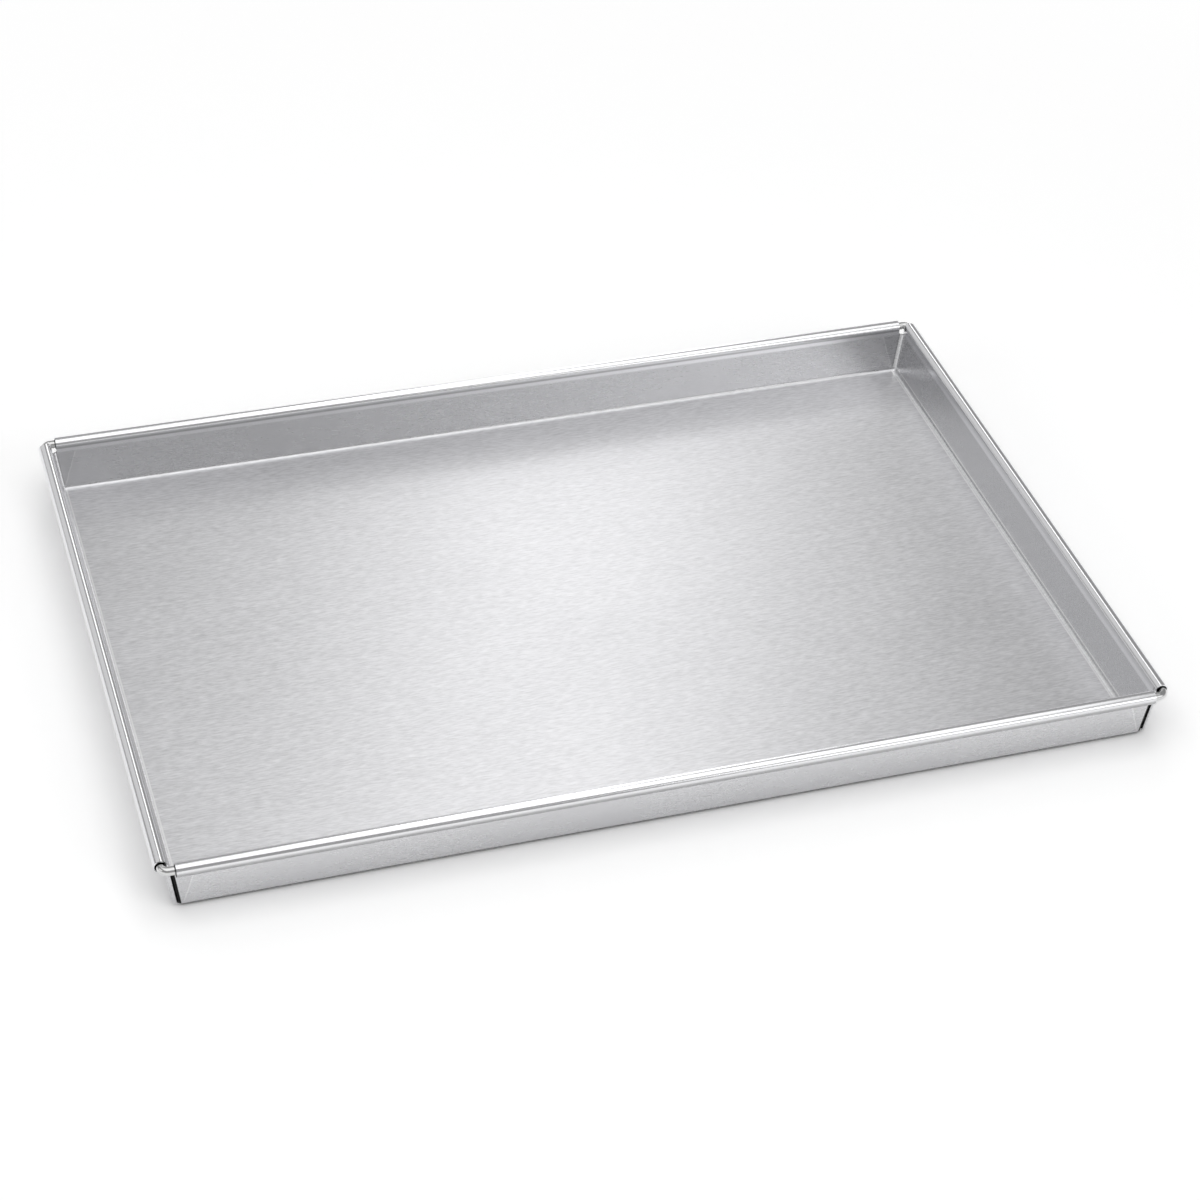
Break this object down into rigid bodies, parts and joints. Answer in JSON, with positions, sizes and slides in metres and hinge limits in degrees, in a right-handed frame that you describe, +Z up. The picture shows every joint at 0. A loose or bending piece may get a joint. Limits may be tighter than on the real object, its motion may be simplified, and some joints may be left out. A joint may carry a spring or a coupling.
{
  "type": "jelly roll pan",
  "caption": "Shallow rectangular baking pan folded from one metal sheet, with leaning walls, folded corners and a wire-cored rolled rim",
  "frame": {"origin": "centre of the underside, on the table", "axes": "X along the long walls, Y along the short walls, Z up; the pictured front long wall is at -Y"},
  "size_m": [0.438, 0.305, 0.0265],
  "materials": {
    "sheet": "plain sheet with a fine grain brushed along its length, bright at the folds",
    "wire": "drawn steel wire, dull"
  },
  "bodies": {
    "root": {"pan_sheet": "sheet", "rim_wire": "wire"}
  },
  "joints": []
}
